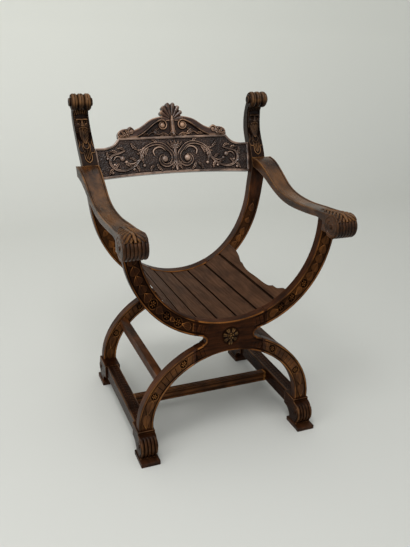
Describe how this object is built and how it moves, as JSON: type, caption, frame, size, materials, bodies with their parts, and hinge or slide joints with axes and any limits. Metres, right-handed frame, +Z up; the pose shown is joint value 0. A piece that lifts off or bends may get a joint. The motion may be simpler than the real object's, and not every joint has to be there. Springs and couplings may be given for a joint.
{
  "type": "savonarola armchair",
  "caption": "Carved walnut armchair: two fixed X frames of curved members, slatted dished seat, scrolled arms and a raked carved crest between tall scrolled posts.",
  "frame": {"origin": "on the floor, under the middle of the chair's overall width and depth", "axes": "+Z up, -Y is the front that the sitter faces, +X is the right-hand side seen from the front"},
  "size_m": [0.656, 0.6349, 0.9535],
  "materials": {
    "carved_walnut": "waxed and polished dark walnut",
    "seat_boards": "worn satin walnut",
    "seat_bearers": "plain planed walnut",
    "beech_dowels": "plain beech",
    "steel_screws": "dull steel"
  },
  "bodies": {
    "root": {"arm_dowels": "beech_dowels", "armrest_left": "carved_walnut", "armrest_right": "carved_walnut", "back_post_left": "carved_walnut", "back_post_right": "carved_walnut", "base_runner_left": "carved_walnut", "base_runner_right": "carved_walnut", "crest_carving": "carved_walnut", "crest_dowels": "beech_dowels", "crest_panel": "carved_walnut", "cross_stretcher": "carved_walnut", "foot_pad_front_left": "carved_walnut", "foot_pad_front_right": "carved_walnut", "foot_pad_rear_left": "carved_walnut", "foot_pad_rear_right": "carved_walnut", "front_hub": "carved_walnut", "front_leg_left": "carved_walnut", "front_leg_right": "carved_walnut", "front_rosette": "carved_walnut", "front_seat_bearer": "seat_bearers", "front_upright_left": "carved_walnut", "front_upright_right": "carved_walnut", "hub_dowels": "beech_dowels", "rear_hub": "carved_walnut", "rear_leg_left": "carved_walnut", "rear_leg_right": "carved_walnut", "rear_seat_bearer": "seat_bearers", "seat_end_board_left": "seat_boards", "seat_end_board_right": "seat_boards", "seat_slat_1": "seat_boards", "seat_slat_2": "seat_boards", "seat_slat_3": "seat_boards", "seat_slat_4": "seat_boards", "seat_slat_5": "seat_boards", "side_stretcher_left": "carved_walnut", "side_stretcher_right": "carved_walnut", "slat_screws": "steel_screws"}
  },
  "joints": []
}
